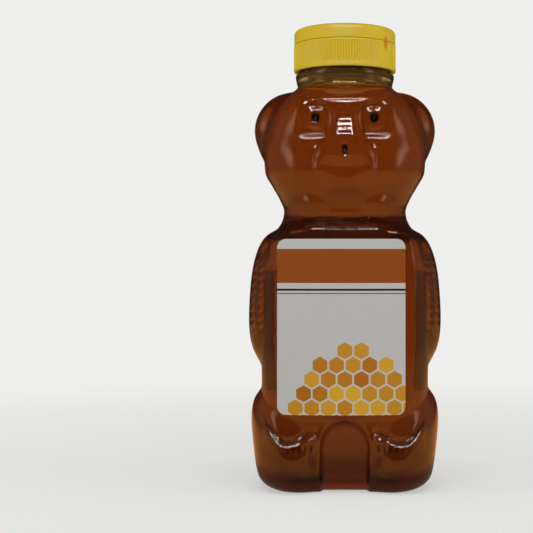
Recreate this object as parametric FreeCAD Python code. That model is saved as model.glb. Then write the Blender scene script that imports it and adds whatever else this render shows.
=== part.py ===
import FreeCAD, Part
import math
import os

from FreeCAD import Vector

# Honey bear bottle: a clear blow-moulded bottle full of honey, with a screw cap and a flip-top lid.
# Millimetres. The bear faces -Y, +Z is up, and the origin is under the neck's axis at the resting plane.

# Driving dimensions
BASE_TO_LID_TOP = 184.0
CAP_DIAMETER = 41.5
PARTING_HEIGHT = 178.0
CAP_RIM_HEIGHT = 167.0
HEAD_TOP_HEIGHT = 162.5
HONEY_LEVEL = 159.4
HONEY_GAP = 0.12
WALL = 0.6
BASE_WALL = 1.2
HEEL_RADIUS = 6.0

# Screw finish of the neck
THREAD_PITCH = 4.233
THREAD_CREST_RADIUS = 18.75
NECK_RADIUS = 17.65
BORE_RADIUS = 15.9
LIP_HEIGHT = 175.3
NECK_FOOT = 156.0
NECK_STEM_RADIUS = 18.6
NECK_RING_HEIGHT = 162.4
NECK_RING_PROUD = 0.35
NECK_RING_HALF = 0.6
BEAD_RADIUS = 20.0
BEAD_FOOT = 163.9
BEAD_LOW = 164.6
BEAD_HIGH = 165.4
BEAD_TOP = 166.2
LIP_ROUND = 0.5
NECK_THREAD_FOOT = 168.2
NECK_THREAD_TURNS = 1.25
THREAD_ROOT_HALF = 1.25
THREAD_CREST_HALF = 0.5
THREAD_SINK = 0.3

# The body without its limbs: height, half width, depth to the front, depth to the back, squareness.
# Squareness 2 is an ellipse, and 4 is close to a rectangle with rounded corners.
BODY_STATIONS = [
    (0.0, 33.3, 27.6, 28.0, 3.2),
    (14.0, 33.3, 28.2, 29.6, 3.4),
    (30.0, 33.3, 28.8, 30.6, 3.8),
    (60.0, 33.3, 28.8, 30.4, 4.0),
    (88.0, 32.8, 28.8, 29.2, 4.0),
    (97.0, 30.6, 28.6, 27.4, 3.9),
    (102.0, 28.0, 27.4, 25.0, 3.4),
    (105.5, 25.8, 25.4, 23.6, 2.8),
    (110.2, 24.7, 22.4, 22.4, 2.5),
    (115.0, 26.4, 23.0, 23.2, 2.4),
    (120.0, 29.2, 24.6, 25.0, 2.4),
    (127.0, 32.4, 26.0, 26.8, 2.4),
    (133.0, 32.6, 26.2, 27.2, 2.4),
    (141.0, 30.8, 25.6, 26.8, 2.3),
    (149.0, 28.0, 24.2, 25.2, 2.2),
    (156.0, 23.8, 22.0, 22.2, 2.1),
    (160.0, 19.6, 19.2, 19.4, 2.0),
    (HEAD_TOP_HEIGHT, 16.4, 16.4, 16.4, 2.0),
]

# Limbs that swell out of the body: centre, half sizes, squareness over the height,
# how far the centre leans outwards and backwards per millimetre of height, and the blend into the body.
EAR = dict(centre=(21.2, 3.0, 143.5), half=(15.8, 7.6, 15.9), power=2.0, lean=(0.0, 0.0), blend=2.5)
ARM = dict(centre=(27.0, -8.0, 75.5), half=(11.2, 13.5, 27.0), power=2.6, lean=(-0.06, 0.0), blend=2.0)
LEG = dict(centre=(22.4, -8.0, 18.0), half=(14.4, 20.6, 22.0), power=3.2, lean=(0.12, 0.25), blend=3.0)
MUZZLE = dict(centre=(0.0, -19.6, 132.0), half=(12.6, 10.8, 12.5), power=2.4, lean=(0.0, 0.0), blend=3.0)
NOSE = dict(centre=(0.0, -26.2, 138.2), half=(4.4, 4.2, 3.6), power=2.0, lean=(0.0, 0.0), blend=1.5)
EYE = dict(centre=(11.4, -20.4, 146.0), half=(4.7, 4.7, 4.6), power=2.0, lean=(0.0, 0.0), blend=1.2)
LIMBS = [EAR, ARM, LEG, MUZZLE, NOSE, EYE]

# Hollow in the front of each ear: direction from the front in degrees, height, half sizes and depth
EAR_CUP = dict(angle=88.0, height=143.5, half_angle=3.4, half_height=8.0, depth=2.0)

# Arch between the legs: half width, height of its round top's centre, depth at the top and at the base
ARCH_HALF_WIDTH = 9.6
ARCH_CENTRE_HEIGHT = 18.4
ARCH_TOP_DEPTH = 1.2
ARCH_FOOT_DEPTH = 3.6
ARCH_EDGE = 2.0

# Label panels, upright and slightly bowed: depth from the axis, half width, foot and top
PANEL_BOW_RADIUS = 150.0
PANEL_CORNER = 5.0
PANEL_EDGE = 2.2
FRONT_PANEL = dict(depth=27.8, half_width=26.4, foot=30.2, top=100.4)
BACK_PANEL = dict(depth=29.4, half_width=23.6, foot=35.6, top=87.4)

# Labels: width, height, offset of the middle to the side, and height of the middle
FRONT_LABEL = dict(width=49.5, height=68.0, aside=-1.4, middle=65.2)
BACK_LABEL = dict(width=44.0, height=49.0, aside=0.0, middle=61.5)
LABEL_CORNER = 3.4
LABEL_THICKNESS = 0.15
LABEL_GAP = 0.1

# Push-up in the middle of the base
PUSH_UP_RADIUS = 14.0
PUSH_UP_HEIGHT = 2.0

# Closure
CAP_RADIUS = CAP_DIAMETER / 2
CAP_INNER_RADIUS = 19.1
CAP_THREAD_CREST = 18.05
CAP_THREAD_DROP = 1.75
CAP_THREAD_FOOT = 168.6
CAP_THREAD_TURNS = 1.0
DECK_UNDERSIDE = 176.5
DECK_TOP = 177.9
COLLAR_OUTER = 18.6
COLLAR_INNER = 17.4
COLLAR_TOP = 179.0
SPOUT_FOOT_RADIUS = 5.2
SPOUT_TIP_RADIUS = 4.2
SPOUT_TOP = 181.6
ORIFICE_RADIUS = 3.2
RIB_COUNT = 132
RIB_DEPTH = 0.3
RIB_FOOT = 168.3
RIB_TOP = 176.9
LID_INNER_RADIUS = 18.95
LID_INNER_TOP = 182.7
LID_EDGE_RADIUS = 2.0
PLUG_TIP = 180.6
PLUG_TIP_RADIUS = 2.5
PLUG_ROOT_RADIUS = 2.95
PLUG_SINK = 0.3
RIM_CHAMFER = 0.4

# Thumb scoop to the right of the front, and the hinge across from it
THUMB_ANGLE = 55.0
SCOOP_HALF_HEIGHT = 3.5
SCOOP_DEPTH = 1.1
SCOOP_MIDDLE = 176.6
SCOOP_PLAIN_ANGLE = 13.0
HINGE_FLAT = 20.0
HINGE_PLAIN_ANGLE = 18.0
STRAP_WIDTH = 2.2
STRAP_THICKNESS = 0.4
STRAP_OFFSET = 3.9
STRAP_REACH = 1.5
FILM_WIDTH = 4.2
FILM_THICKNESS = 0.3
FILM_REACH = 0.9

# Seals under the cap
FOIL_THICKNESS = 0.25
FOIL_RADIUS = 17.4
WASHER_THICKNESS = 0.8
WASHER_RADIUS = 18.4
WASHER_BORE = 9.0
SEAL_GAP = 0.05

# How far a cutting tool runs past what it cuts
SPARE = 1.0

# How finely the skin of the bear is measured: points round half of it, height of a step,
# points beyond its ends, steps in the heel, and how level an end ring's corners are
SKIN_ANGLES = 90
SKIN_STEP = 1.3
SKIN_MARGIN = 18
HEEL_STEPS = 6
LEVEL = 1e-6


def station_value(height, column):
    """One column of the body stations at a height, on a curve that never overshoots its stations."""
    last = len(BODY_STATIONS) - 2
    low = 0
    while low < last and height > BODY_STATIONS[low + 1][0]:
        low += 1

    def rise(k):
        here = BODY_STATIONS[k]
        there = BODY_STATIONS[k + 1]
        return (there[column] - here[column]) / (there[0] - here[0])

    def slope(k):
        before = rise(max(k - 1, 0))
        after = rise(min(k, last))
        if before * after <= 0.0:
            return 0.0
        return 2.0 * before * after / (before + after)

    start = BODY_STATIONS[low]
    end = BODY_STATIONS[low + 1]
    span = end[0] - start[0]
    t = (height - start[0]) / span
    from_start = start[column] * (1 + 2 * t) + slope(low) * span * t
    from_end = end[column] * (3 - 2 * t) + slope(low + 1) * span * (t - 1)
    return from_start * (1 - t) ** 2 + from_end * t * t


def soft_max(first, second, blend):
    """The larger of two radii, with a fillet where they are close."""
    near = max(blend - abs(first - second), 0.0) / blend
    return max(first, second) + near * near * blend / 4


def fade(distance, width):
    """1 at and below zero, falling smoothly to 0 at the given width."""
    t = min(max(distance / width, 0.0), 1.0)
    return 1 - t * t * (3 - 2 * t)


def body_radius(angle, height):
    """Radius of the plain body. The angle is measured from the front, so 90 degrees is the bear's side."""
    half_width = station_value(height, 1)
    half_depth = station_value(height, 2 if math.cos(angle) > 0 else 3)
    power = station_value(height, 4)
    across = (abs(math.sin(angle)) / half_width) ** power
    along = (abs(math.cos(angle)) / half_depth) ** power
    return (across + along) ** (-1 / power)


def limb_radius(angle, height, limb):
    """How far out a ray from the axis leaves a limb, or 0 where it misses."""
    rise = height - limb["centre"][2]
    share = abs(rise) / limb["half"][2]
    if share >= 1:
        return 0.0
    size = (1 - share ** limb["power"]) ** (1 / limb["power"])
    centre_x = limb["centre"][0] + limb["lean"][0] * rise
    centre_y = limb["centre"][1] + limb["lean"][1] * rise
    half_x = limb["half"][0] * size
    half_y = limb["half"][1] * size
    out_x = math.sin(angle)
    out_y = -math.cos(angle)
    square = (out_x / half_x) ** 2 + (out_y / half_y) ** 2
    middle = out_x * centre_x / half_x ** 2 + out_y * centre_y / half_y ** 2
    offset = (centre_x / half_x) ** 2 + (centre_y / half_y) ** 2 - 1
    root = middle ** 2 - square * offset
    if root <= 0:
        return 0.0
    return (middle + math.sqrt(root)) / square


def panel_radius(angle, panel):
    """Radius of the bowed panel in a direction, measured from the panel's own side of the bear."""
    axis = PANEL_BOW_RADIUS - panel["depth"]
    along = axis * math.cos(angle)
    return math.sqrt(along ** 2 + PANEL_BOW_RADIUS ** 2 - axis ** 2) - along


def on_panel(radius, angle, height, panel):
    """Draws the skin onto a flat label panel inside the panel's rounded rectangle."""
    if math.cos(angle) <= 0:
        return radius
    flat = panel_radius(angle, panel)
    out_x = abs(flat * math.sin(angle)) - panel["half_width"] + PANEL_CORNER
    middle = (panel["foot"] + panel["top"]) / 2
    out_z = abs(height - middle) - (panel["top"] - panel["foot"]) / 2 + PANEL_CORNER
    outside = math.hypot(max(out_x, 0), max(out_z, 0)) + min(max(out_x, out_z), 0) - PANEL_CORNER
    return radius + (flat - radius) * fade(outside, PANEL_EDGE)


def arch_depth(angle, height, radius):
    """Depth of the arch between the legs."""
    if math.cos(angle) <= 0:
        return 0.0
    aside = abs(radius * math.sin(angle))
    above = max(height - ARCH_CENTRE_HEIGHT, 0.0)
    outside = math.hypot(aside, above) - ARCH_HALF_WIDTH + ARCH_EDGE
    low = 1 - min(height / (ARCH_CENTRE_HEIGHT + ARCH_HALF_WIDTH), 1.0)
    return (ARCH_TOP_DEPTH + (ARCH_FOOT_DEPTH - ARCH_TOP_DEPTH) * low) * fade(outside, ARCH_EDGE)


def bear_radius(angle, height):
    """Radius of the bear's skin. Angles run from 0 at the front to pi at the back."""
    radius = body_radius(angle, height)
    for limb in LIMBS:
        radius = soft_max(radius, limb_radius(angle, height, limb), limb["blend"])
    cup_aside = (math.degrees(angle) - EAR_CUP["angle"]) / EAR_CUP["half_angle"]
    cup_above = (height - EAR_CUP["height"]) / EAR_CUP["half_height"]
    radius -= EAR_CUP["depth"] * math.exp(-cup_aside ** 2 - cup_above ** 2)
    radius -= arch_depth(angle, height, radius)
    radius = on_panel(radius, angle, height, FRONT_PANEL)
    radius = on_panel(radius, math.pi - angle, height, BACK_PANEL)
    if height < HEEL_RADIUS:
        radius -= HEEL_RADIUS - math.sqrt(HEEL_RADIUS ** 2 - (HEEL_RADIUS - height) ** 2)
    return radius


def inner_radius(angle, height, wall):
    """Radius of the skin drawn in by a wall, also where the skin slopes."""
    lower = bear_radius(angle, max(height - wall, 0.0))
    level = bear_radius(angle, height)
    upper = bear_radius(angle, min(height + wall, HEAD_TOP_HEIGHT))
    return min(lower, level, upper) - wall


def skin_heights(foot, top):
    """Heights of the measured rings: close together in the rounded heel, then evenly spaced."""
    quarter = math.pi / 2 / HEEL_STEPS
    heel = [foot + (HEEL_RADIUS - foot) * (1 - math.cos(k * quarter)) for k in range(HEEL_STEPS)]
    count = math.ceil((top - HEEL_RADIUS) / SKIN_STEP)
    return heel + [HEEL_RADIUS + (top - HEEL_RADIUS) * k / count for k in range(count + 1)]


def skin_ring(height, wall):
    """Points round the right half of the bear at one height, and a few past both ends of the half."""
    ring = []
    for k in range(-SKIN_MARGIN, SKIN_ANGLES + SKIN_MARGIN + 1):
        angle = math.pi * k / SKIN_ANGLES
        folded = math.pi - abs(math.pi - abs(angle))
        radius = inner_radius(folded, height, wall) if wall else bear_radius(folded, height)
        ring.append(Vector(radius * math.sin(angle), -radius * math.cos(angle), height))
    return ring


def beyond(ring, neighbour):
    """Rings that carry the skin straight on past its last ring, furthest first."""
    return [[a + (a - b) * k for a, b in zip(ring, neighbour)] for k in range(SKIN_MARGIN, 0, -1)]


def skin_surface(foot, top, wall):
    """The right half of the skin: a smooth surface through evenly spaced points, trimmed of its margins."""
    rings = [skin_ring(height, wall) for height in skin_heights(foot, top)]
    padded = beyond(rings[0], rings[1]) + rings + beyond(rings[-1], rings[-2])[::-1]
    layers = []
    for axis in range(3):
        field = Part.BSplineSurface()
        field.interpolate([[point[axis] for point in ring] for ring in padded], 0, 1, 0, 1)
        layers.append(field.getPoles())
    poles = [[Vector(x.z, y.z, z.z) for x, y, z in zip(*row)] for row in zip(*layers)]
    surface = Part.BSplineSurface()
    surface.buildFromPolesMultsKnots(
        poles, field.getUMultiplicities(), field.getVMultiplicities(), field.getUKnots(), field.getVKnots(),
        False, False, field.UDegree, field.VDegree)
    surface.segment(SKIN_MARGIN, SKIN_MARGIN + len(rings) - 1, SKIN_MARGIN, SKIN_MARGIN + SKIN_ANGLES)
    return surface


def bear_solid(foot, top, wall):
    """A closed bear between two heights: two mirrored skins, a flat base and a flat top."""
    right = skin_surface(foot, top, wall).toShape()
    left = right.mirror(Vector(0, 0, 0), Vector(1, 0, 0))
    faces = [right, left]
    for height in (foot, top):
        edges = [edge for half in (right, left) for edge in half.Edges
                 if all(abs(vertex.Z - height) < LEVEL for vertex in edge.Vertexes)]
        faces.append(Part.Face(Part.Wire(Part.sortEdges(edges)[0])))
    shell = Part.makeShell(faces)
    shell.sewShape()
    solid = Part.Solid(shell)
    if solid.Volume < 0:
        solid.reverse()
    return solid


def revolved(points):
    """A solid turned about the Z axis from an outline of (radius, height) points."""
    corners = [Vector(radius, 0, height) for radius, height in points]
    outline = Part.makePolygon(corners + corners[:1])
    return Part.Face(outline).revolve(Vector(0, 0, 0), Vector(0, 0, 1), 360)


def tube(outer, inner, foot, top):
    """A plain ring about the Z axis."""
    ring = Part.makeCylinder(outer, top - foot, Vector(0, 0, foot))
    return ring.cut(Part.makeCylinder(inner, top - foot + 2 * SPARE, Vector(0, 0, foot - SPARE)))


def thread_ridge(root, crest, foot, turns, start_angle):
    """A helical ridge from its root radius to its crest radius, inwards or outwards."""
    helix = Part.makeHelix(THREAD_PITCH, THREAD_PITCH * turns, root)
    corners = [
        Vector(root, 0, -THREAD_ROOT_HALF),
        Vector(crest, 0, -THREAD_CREST_HALF),
        Vector(crest, 0, THREAD_CREST_HALF),
        Vector(root, 0, THREAD_ROOT_HALF),
    ]
    outline = Part.makePolygon(corners + corners[:1])
    ridge = Part.Wire(helix.Edges).makePipeShell([outline], True, True)
    if ridge.Volume < 0:
        ridge.reverse()
    ridge.translate(Vector(0, 0, foot))
    ridge.rotate(Vector(0, 0, 0), Vector(0, 0, 1), start_angle)
    return ridge


def toward(angle, distance, height):
    """A point at a distance from the axis, in a direction measured from the front towards +X."""
    turn = math.radians(angle)
    return Vector(distance * math.sin(turn), -distance * math.cos(turn), height)


def push_up(extra):
    """The dome that is pushed up into the base, swollen by an extra thickness."""
    radius = (PUSH_UP_RADIUS ** 2 + PUSH_UP_HEIGHT ** 2) / (2 * PUSH_UP_HEIGHT)
    return Part.makeSphere(radius + extra, Vector(0, 0, PUSH_UP_HEIGHT - radius))


def make_bottle():
    """The clear bear with its neck, bead and outside thread."""
    neck = revolved([
        (0, NECK_FOOT),
        (NECK_STEM_RADIUS, NECK_FOOT),
        (NECK_STEM_RADIUS, NECK_RING_HEIGHT - NECK_RING_HALF),
        (NECK_STEM_RADIUS + NECK_RING_PROUD, NECK_RING_HEIGHT),
        (NECK_STEM_RADIUS, NECK_RING_HEIGHT + NECK_RING_HALF),
        (NECK_STEM_RADIUS, BEAD_FOOT),
        (BEAD_RADIUS, BEAD_LOW),
        (BEAD_RADIUS, BEAD_HIGH),
        (NECK_RADIUS, BEAD_TOP),
        (NECK_RADIUS, LIP_HEIGHT - LIP_ROUND),
        (NECK_RADIUS - LIP_ROUND, LIP_HEIGHT),
        (0, LIP_HEIGHT),
    ])
    root = NECK_RADIUS - THREAD_SINK
    ridge = thread_ridge(root, THREAD_CREST_RADIUS, NECK_THREAD_FOOT, NECK_THREAD_TURNS, 0)
    bear = bear_solid(0.0, HEAD_TOP_HEIGHT, 0.0).cut(push_up(0))
    outside = bear.fuse(neck.fuse(ridge))
    hollow = bear_solid(BASE_WALL, HEAD_TOP_HEIGHT - WALL, WALL).cut(push_up(BASE_WALL))
    bore = Part.makeCylinder(BORE_RADIUS, LIP_HEIGHT - NECK_FOOT + SPARE, Vector(0, 0, NECK_FOOT))
    return outside.cut(hollow).cut(bore)


def make_honey():
    """The honey, a hair's breadth inside the wall."""
    solid = bear_solid(BASE_WALL + HONEY_GAP, HONEY_LEVEL, WALL + HONEY_GAP)
    return solid.cut(push_up(BASE_WALL + HONEY_GAP))


def make_label(label, panel, back):
    """A label as a thin bowed sheet with rounded corners, just off its panel."""
    near = PANEL_BOW_RADIUS + LABEL_GAP
    tall = label["height"]
    foot = label["middle"] - tall / 2
    axis = Vector(0, PANEL_BOW_RADIUS - panel["depth"], foot - SPARE)
    sheet = Part.makeCylinder(near + LABEL_THICKNESS, tall + 2 * SPARE, axis)
    sheet = sheet.cut(Part.makeCylinder(near, tall + 2 * SPARE, axis))
    deep = 2 * panel["depth"]
    block = Part.makeBox(label["width"], deep, tall, Vector(label["aside"] - label["width"] / 2, -deep, foot))
    through = [edge for edge in block.Edges if edge.BoundBox.YLength > panel["depth"]]
    label_solid = sheet.common(block.makeFillet(LABEL_CORNER, through))
    if back:
        label_solid.rotate(Vector(0, 0, 0), Vector(0, 0, 1), 180)
    return label_solid


def hinge_cut():
    """What is cut off the cap and lid to leave a flat for the hinge."""
    corner = Vector(-CAP_RADIUS, HINGE_FLAT, CAP_RIM_HEIGHT - SPARE)
    block = Part.makeBox(CAP_DIAMETER, CAP_DIAMETER, BASE_TO_LID_TOP, corner)
    block.rotate(Vector(0, 0, 0), Vector(0, 0, 1), THUMB_ANGLE)
    return block


def thumb_scoop():
    """The ball that scoops a thumb grip out of the cap and lid."""
    radius = (SCOOP_HALF_HEIGHT ** 2 + SCOOP_DEPTH ** 2) / (2 * SCOOP_DEPTH)
    return Part.makeSphere(radius, toward(THUMB_ANGLE, CAP_RADIUS - SCOOP_DEPTH + radius, SCOOP_MIDDLE))


def ribbed_ring():
    """The ribbed band of the skirt: one toothed outline, plain at the scoop and at the hinge."""
    pitch = 360 / RIB_COUNT
    corners = []
    for k in range(RIB_COUNT):
        angle = k * pitch
        from_thumb = abs((angle - THUMB_ANGLE + 180) % 360 - 180)
        plain = from_thumb < SCOOP_PLAIN_ANGLE or from_thumb > 180 - HINGE_PLAIN_ANGLE
        corners.append(toward(angle - 0.25 * pitch, CAP_RADIUS, RIB_FOOT))
        corners.append(toward(angle + 0.25 * pitch, CAP_RADIUS, RIB_FOOT))
        if not plain:
            corners.append(toward(angle + 0.5 * pitch, CAP_RADIUS - RIB_DEPTH, RIB_FOOT))
    outline = Part.makePolygon(corners + corners[:1])
    return Part.Face(outline).extrude(Vector(0, 0, RIB_TOP - RIB_FOOT))


def make_cap():
    """The screw shell: ribbed skirt, deck, snap collar, spout and inside thread, in one moulding."""
    foot = revolved([
        (0, CAP_RIM_HEIGHT),
        (CAP_RADIUS - RIM_CHAMFER, CAP_RIM_HEIGHT),
        (CAP_RADIUS, CAP_RIM_HEIGHT + RIM_CHAMFER),
        (CAP_RADIUS, RIB_FOOT),
        (0, RIB_FOOT),
    ])
    head = revolved([
        (0, RIB_TOP),
        (CAP_RADIUS, RIB_TOP),
        (CAP_RADIUS, DECK_TOP - RIM_CHAMFER),
        (CAP_RADIUS - RIM_CHAMFER, DECK_TOP),
        (COLLAR_OUTER, DECK_TOP),
        (COLLAR_OUTER, COLLAR_TOP),
        (COLLAR_INNER, COLLAR_TOP),
        (COLLAR_INNER, DECK_TOP),
        (SPOUT_FOOT_RADIUS, DECK_TOP),
        (SPOUT_TIP_RADIUS, SPOUT_TOP),
        (0, SPOUT_TOP),
    ])
    shell = foot.fuse(ribbed_ring()).fuse(head)
    below = Vector(0, 0, CAP_RIM_HEIGHT - SPARE)
    socket = Part.makeCylinder(CAP_INNER_RADIUS, DECK_UNDERSIDE - below.z, below)
    orifice = Part.makeCylinder(ORIFICE_RADIUS, BASE_TO_LID_TOP - below.z, below)
    shell = shell.cut(socket).cut(orifice).cut(thumb_scoop()).cut(hinge_cut())
    start = (CAP_THREAD_FOOT + CAP_THREAD_DROP - NECK_THREAD_FOOT) / THREAD_PITCH * 360
    root = CAP_INNER_RADIUS + THREAD_SINK
    ridge = thread_ridge(root, CAP_THREAD_CREST, CAP_THREAD_FOOT, CAP_THREAD_TURNS, start)
    return shell.fuse(ridge)


def make_lid():
    """The flip-top lid with the plug that closes the spout."""
    lid = Part.makeCylinder(CAP_RADIUS, BASE_TO_LID_TOP - PARTING_HEIGHT, Vector(0, 0, PARTING_HEIGHT))
    top_edge = [edge for edge in lid.Edges if edge.BoundBox.ZMin > BASE_TO_LID_TOP - RIM_CHAMFER]
    lid = lid.makeFillet(LID_EDGE_RADIUS, top_edge)
    foot_edge = [edge for edge in lid.Edges if edge.BoundBox.ZMax < PARTING_HEIGHT + RIM_CHAMFER]
    lid = lid.makeChamfer(RIM_CHAMFER, foot_edge)
    below = Vector(0, 0, PARTING_HEIGHT - SPARE)
    hollow = Part.makeCylinder(LID_INNER_RADIUS, LID_INNER_TOP - below.z, below)
    lid = lid.cut(hollow).cut(thumb_scoop()).cut(hinge_cut())
    plug = revolved([
        (0, PLUG_TIP),
        (PLUG_TIP_RADIUS, PLUG_TIP),
        (PLUG_ROOT_RADIUS, LID_INNER_TOP),
        (PLUG_ROOT_RADIUS, LID_INNER_TOP + PLUG_SINK),
        (0, LID_INNER_TOP + PLUG_SINK),
    ])
    return lid.fuse(plug)


def make_strap(width, thickness, offset, reach):
    """A film strap lying on the hinge flat across the parting line."""
    middle = (DECK_TOP + PARTING_HEIGHT) / 2
    strap = Part.makeBox(width, thickness, 2 * reach, Vector(offset - width / 2, HINGE_FLAT, middle - reach))
    strap.rotate(Vector(0, 0, 0), Vector(0, 0, 1), THUMB_ANGLE)
    return strap


WASHER_FOOT = LIP_HEIGHT + FOIL_THICKNESS + SEAL_GAP
PIECES = {
    "bear_bottle": make_bottle(),
    "honey_fill": make_honey(),
    "foil_seal": Part.makeCylinder(FOIL_RADIUS, FOIL_THICKNESS, Vector(0, 0, LIP_HEIGHT)),
    "sealing_washer": tube(WASHER_RADIUS, WASHER_BORE, WASHER_FOOT, WASHER_FOOT + WASHER_THICKNESS),
    "cap_base": make_cap(),
    "flip_lid": make_lid(),
    "hinge_film": make_strap(FILM_WIDTH, FILM_THICKNESS, 0.0, FILM_REACH),
    "hinge_strap_left": make_strap(STRAP_WIDTH, STRAP_THICKNESS, -STRAP_OFFSET, STRAP_REACH),
    "hinge_strap_right": make_strap(STRAP_WIDTH, STRAP_THICKNESS, STRAP_OFFSET, STRAP_REACH),
    "front_label": make_label(FRONT_LABEL, FRONT_PANEL, False),
    "back_label": make_label(BACK_LABEL, BACK_PANEL, True),
}

os.makedirs("parts", exist_ok=True)
for name, shape in PIECES.items():
    shape.exportStep(f"parts/{name}.step")
    box = shape.BoundBox
    print(f"{name}: valid {shape.isValid()}, solids {len(shape.Solids)}, {shape.Volume / 1000:.3f} ml,",
          f"z {box.ZMin:.2f} to {box.ZMax:.2f}")
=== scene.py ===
import math

import bmesh
import bpy
import numpy as np
from mathutils import Matrix, Vector


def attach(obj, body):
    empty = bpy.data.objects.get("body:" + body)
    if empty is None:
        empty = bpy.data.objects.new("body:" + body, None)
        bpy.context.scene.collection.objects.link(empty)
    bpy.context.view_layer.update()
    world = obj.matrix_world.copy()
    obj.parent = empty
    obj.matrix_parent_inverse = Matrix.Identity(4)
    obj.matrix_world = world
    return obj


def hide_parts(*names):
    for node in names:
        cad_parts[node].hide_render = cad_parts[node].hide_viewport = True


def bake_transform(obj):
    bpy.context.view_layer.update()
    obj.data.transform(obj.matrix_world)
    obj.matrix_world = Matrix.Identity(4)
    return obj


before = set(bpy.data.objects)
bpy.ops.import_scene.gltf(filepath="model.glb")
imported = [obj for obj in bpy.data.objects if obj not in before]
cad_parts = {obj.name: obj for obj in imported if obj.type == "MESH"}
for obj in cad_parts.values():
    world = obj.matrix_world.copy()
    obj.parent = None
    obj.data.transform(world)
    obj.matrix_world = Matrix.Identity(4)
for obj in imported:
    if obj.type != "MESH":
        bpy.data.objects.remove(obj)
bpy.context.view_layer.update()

# Bear bottle: a clear squeeze bottle in the shape of a sitting bear. It is PET, moulded first as a thick
# tube with a threaded neck and then blown out against the bear's mould, which leaves a thin wall.
# Sizes are in millimetres, heights count from the table, and angles from the bear's front to its side.
MM = 0.001
NEARLY = 0.01
WALL = 0.6
BASE_WALL = 1.2
HONEY_LEVEL = 159.4
HEEL_RADIUS = 6.0
HEEL_STEPS = 10
PREFORM_OUTSIDE = 12.0
PREFORM_INSIDE = 10.0
SEGMENTS = 256
FRONT_CROWDING = 0.42

# The body without its limbs: height, half width, depths to the front and back, squareness of each
BODY_STATIONS = [
    (0.0, 33.3, 27.6, 28.0, 3.4, 3.2),
    (14.0, 33.3, 27.8, 29.6, 3.6, 3.4),
    (30.0, 33.3, 27.1, 30.6, 4.2, 3.8),
    (38.0, 33.3, 28.2, 30.6, 4.3, 3.9),
    (60.0, 33.3, 28.4, 30.4, 4.6, 4.0),
    (88.0, 32.8, 28.4, 29.2, 4.6, 4.0),
    (97.0, 30.6, 28.4, 27.4, 4.2, 3.9),
    (102.0, 28.0, 27.9, 25.0, 3.4, 3.4),
    (104.5, 26.3, 25.8, 24.0, 2.9, 2.9),
    (107.4, 25.1, 22.5, 23.0, 2.6, 2.6),
    (110.2, 24.7, 22.5, 22.4, 2.5, 2.5),
    (115.0, 26.4, 23.2, 23.2, 2.6, 2.4),
    (120.0, 29.2, 25.2, 25.0, 2.9, 2.4),
    (126.0, 32.2, 26.2, 26.8, 3.2, 2.4),
    (133.0, 32.6, 26.1, 27.2, 3.3, 2.4),
    (141.0, 30.8, 25.7, 26.8, 3.3, 2.3),
    (149.0, 28.0, 25.9, 25.2, 3.2, 2.2),
    (153.0, 25.9, 25.5, 23.7, 2.9, 2.1),
    (156.0, 23.8, 23.4, 22.2, 2.6, 2.1),
    (160.0, 19.6, 19.4, 19.4, 2.1, 2.0),
    (162.5, 16.4, 16.4, 16.4, 2.0, 2.0),
]

# Limbs that swell out of the body: centre, half sizes, squareness over the height, lean and blend
LIMBS = [
    dict(centre=(21.2, 3.0, 143.5), half=(15.8, 7.6, 15.9), power=2.0, lean=(0.0, 0.0), blend=5.0),
    dict(centre=(27.0, -8.0, 75.5), half=(11.2, 13.5, 27.0), power=2.6, lean=(-0.06, 0.0), blend=2.0),
    dict(centre=(22.4, -8.0, 18.0), half=(14.4, 20.6, 22.0), power=3.2, lean=(0.12, 0.25), blend=3.0),
]

# Round swells and dimples of the front: how far aside, height, half width, half height, how proud
FACE_SWELLS = [
    (12.8, 157.6, 6.2, 3.8, 1.6),
    (16.5, 127.0, 9.5, 12.0, 0.95),
    (13.8, 112.2, 9.5, 5.2, 2.3),
    (31.4, 144.5, 5.0, 11.0, -0.7),
]
EYE_ASIDE = 11.4
EYE_HEIGHT = 146.0
EYE_RADIUS = 12.0
EYE_RIM = 4.8
EYE_RIM_FADE = 0.6
EYE_LOWER_SHARE = 0.35
PUPIL = (EYE_ASIDE, EYE_HEIGHT, 1.8, 2.2, -2.0)
NOSE_DIMPLE = (0.0, 133.3, 1.7, 2.7, -2.2)
FACE_FOOT = 107.4
CREASE = (0.0, FACE_FOOT, 22.0, 1.1, -1.1)
SHOULDER = (11.5, 106.0, 6.5, 4.5, 0.8)
SOCKET_FLOOR = 24.2
SOCKET_FOOT = (137.8, 139.9)
SOCKET_TOP = (150.2, 154.0)
SOCKET_INNER = (3.0, 7.6)
SOCKET_OUTER = (15.0, 21.5)

# The muzzle, from under the chin up to the bridge between the eyes: height, half width, how proud
MUZZLE_STATIONS = [
    (110.0, 20.0, 0.0),
    (112.0, 19.0, 0.3),
    (115.0, 17.5, 1.2),
    (118.0, 15.5, 2.1),
    (121.0, 14.0, 2.7),
    (122.4, 13.6, 2.75),
    (126.2, 13.3, 2.85),
    (131.2, 12.9, 3.6),
    (133.5, 12.0, 3.7),
    (136.5, 9.6, 3.7),
    (138.8, 7.8, 3.6),
    (140.9, 6.45, 3.12),
    (141.7, 6.05, 2.97),
    (142.6, 5.7, 2.68),
    (143.8, 5.35, 2.15),
    (145.1, 5.1, 1.77),
    (146.2, 5.0, 1.52),
    (147.6, 5.3, 1.28),
    (149.0, 6.2, 1.08),
    (151.0, 8.5, 0.98),
    (153.0, 11.0, 0.85),
    (155.0, 12.0, 0.5),
    (157.0, 12.0, 0.0),
    (158.5, 12.0, -0.6),
]
MUZZLE_SQUARENESS = 2.6
MUZZLE_FALL = 0.6
MUZZLE_EDGE = 0.2
MUZZLE_CREASE = 0.8
MUZZLE_SINK = 3.0
CHIN_FALL = 1.5
CHIN_RUN = 3.0
LIP_FOOT = (122.4, 5.1)
LIP_TOP = 131.2
MOUTH_LINE = (126.2, 1.3)
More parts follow.
